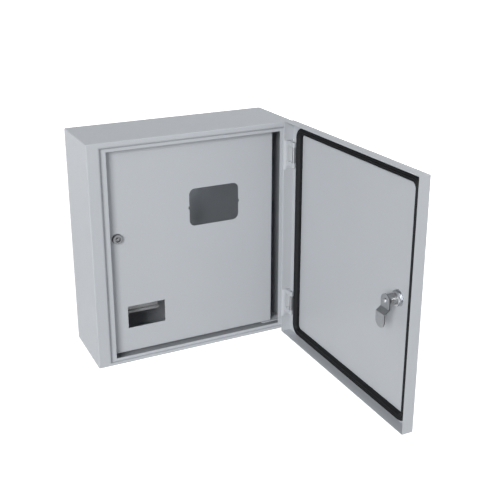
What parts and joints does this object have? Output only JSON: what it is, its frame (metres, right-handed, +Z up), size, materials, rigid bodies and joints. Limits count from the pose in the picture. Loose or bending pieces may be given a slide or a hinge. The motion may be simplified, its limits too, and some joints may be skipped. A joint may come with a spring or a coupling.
{
  "type": "electrical enclosure",
  "caption": "Wall-mounted sheet-steel meter and distribution box with a gasketed outer door and an inner door with a window and a cut-out for modular devices.",
  "frame": {"origin": "centre of the four wall holes, on the cabinet's back face", "axes": "+Z up, +Y from the front into the wall, +X to the right as seen from the front"},
  "size_m": [0.4223, 0.575, 0.4514],
  "materials": {
    "powder_coat": "fine matte powder coat",
    "zinc_plate": "bright zinc plate",
    "lock_zinc": "cast zinc, satin",
    "earth_brass": "plain",
    "foam_seal": "foamed in place",
    "entry_rubber": "matte",
    "clear_pane": "clear sheet"
  },
  "bodies": {
    "cabinet": {"cabinet_body": "powder_coat", "cable_grommet_left": "entry_rubber", "cable_grommet_middle": "entry_rubber", "cable_grommet_right": "entry_rubber", "upper_hinge_bracket": "powder_coat", "lower_hinge_bracket": "powder_coat", "upper_hinge_pin": "zinc_plate", "lower_hinge_pin": "zinc_plate", "upper_pivot_bracket": "powder_coat", "lower_pivot_bracket": "powder_coat", "upper_pivot_pin": "zinc_plate", "lower_pivot_pin": "zinc_plate", "mounting_plate": "zinc_plate", "plate_posts": "zinc_plate", "plate_screws": "zinc_plate", "din_rail": "zinc_plate", "rail_posts": "zinc_plate", "rail_screws": "zinc_plate", "earth_stud": "zinc_plate", "earth_nuts": "earth_brass"},
    "outer_door": {"outer_door_panel": "powder_coat", "door_gasket": "foam_seal", "upper_hinge_leaf": "zinc_plate", "lower_hinge_leaf": "zinc_plate", "outer_lock_housing": "lock_zinc", "outer_lock_washer": "zinc_plate", "outer_lock_nut": "zinc_plate", "cover_rivet": "zinc_plate"},
    "outer_latch": {"outer_lock_plug": "lock_zinc", "outer_lock_cam": "zinc_plate", "outer_cam_screw": "zinc_plate"},
    "lock_cover": {"keyhole_cover": "zinc_plate"},
    "inner_door": {"inner_door_panel": "powder_coat", "window_pane": "clear_pane", "window_studs": "zinc_plate", "window_nuts": "zinc_plate", "inner_lock_housing": "lock_zinc", "inner_lock_nut": "zinc_plate"},
    "inner_latch": {"inner_lock_plug": "lock_zinc", "inner_lock_cam": "zinc_plate", "inner_cam_screw": "zinc_plate"}
  },
  "joints": [
    {"name": "outer_door_hinge", "type": "hinge", "parent": "cabinet", "child": "outer_door", "pos_m": [0.2, -0.165, 0], "axis": [0, 0, 1], "range_deg": [-90, 0]},
    {"name": "outer_lock_turn", "type": "hinge", "parent": "outer_door", "child": "outer_latch", "pos_m": [0.2047, -0.5146, -0.0015], "axis": [1, 0, 0], "range_deg": [-90, 0]},
    {"name": "lock_cover_swing", "type": "hinge", "parent": "outer_door", "child": "lock_cover", "pos_m": [0.2047, -0.5146, 0.0085], "axis": [1, 0, 0], "range_deg": [0, 110]},
    {"name": "inner_door_hinge", "type": "hinge", "parent": "cabinet", "child": "inner_door", "pos_m": [0.162, -0.117, 0], "axis": [0, 0, 1], "range_deg": [0, 90]},
    {"name": "inner_lock_turn", "type": "hinge", "parent": "inner_door", "child": "inner_latch", "pos_m": [-0.1549, -0.125, 0.02995], "axis": [0, -1, 0], "range_deg": [-90, 0]}
  ]
}
